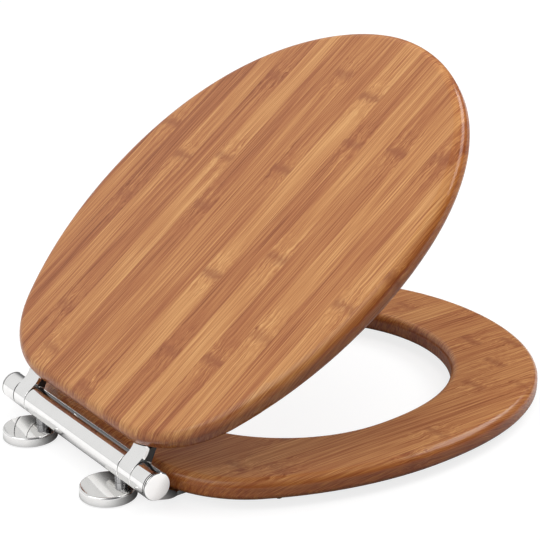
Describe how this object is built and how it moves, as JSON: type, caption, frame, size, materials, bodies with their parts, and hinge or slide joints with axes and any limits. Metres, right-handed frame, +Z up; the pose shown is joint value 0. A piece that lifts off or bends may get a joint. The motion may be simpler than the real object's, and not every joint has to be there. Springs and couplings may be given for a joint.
{
  "type": "toilet seat",
  "caption": "Wooden toilet seat with a lid and an open ring that turn on a chromed bar hinge with round fixing discs.",
  "frame": {"origin": "midway between the fixing holes, on the top face of the bowl", "axes": "+Z up, -Y towards the nose of the seat, X along the hinge bar with -X the left end"},
  "size_m": [0.372, 0.4537, 0.2923],
  "materials": {
    "wood": "satin clear coat on bamboo strips",
    "chrome": "polished chrome plate",
    "steel": "plain steel",
    "plastic": "dark moulded plastic",
    "rubber": "dark soft rubber"
  },
  "bodies": {
    "hinge_base": {"hinge_tube": "chrome", "lid_damper": "plastic", "seat_damper": "plastic", "left_post": "chrome", "right_post": "chrome", "left_disc_cover": "chrome", "right_disc_cover": "chrome", "left_base_plate": "steel", "right_base_plate": "steel", "left_gasket": "rubber", "right_gasket": "rubber", "left_inner_washer": "plastic", "right_inner_washer": "plastic"},
    "seat": {"seat_ring": "wood", "left_seat_arm": "chrome", "right_seat_arm": "chrome", "left_seat_arm_screws": "steel", "right_seat_arm_screws": "steel", "left_end_cap": "chrome", "right_end_cap": "chrome", "left_outer_washer": "plastic", "right_outer_washer": "plastic", "seat_damper_shaft": "steel", "left_seat_bush": "plastic", "rear_left_seat_buffer": "rubber", "rear_right_seat_buffer": "rubber", "front_left_seat_buffer": "rubber", "front_right_seat_buffer": "rubber"},
    "lid": {"lid": "wood", "left_lid_arm": "chrome", "right_lid_arm": "chrome", "left_lid_arm_screws": "steel", "right_lid_arm_screws": "steel", "left_lid_buffer": "rubber", "right_lid_buffer": "rubber", "lid_damper_shaft": "steel", "right_lid_bush": "plastic"}
  },
  "joints": [
    {"name": "seat_hinge", "type": "hinge", "parent": "hinge_base", "child": "seat", "pos_m": [0, -0.0127, 0.0234], "axis": [-1, 0, 0], "range_deg": [0, 52]},
    {"name": "lid_hinge", "type": "hinge", "parent": "seat", "child": "lid", "pos_m": [0, -0.0127, 0.0234], "axis": [-1, 0, 0], "range_deg": [-36.8, 60]}
  ]
}
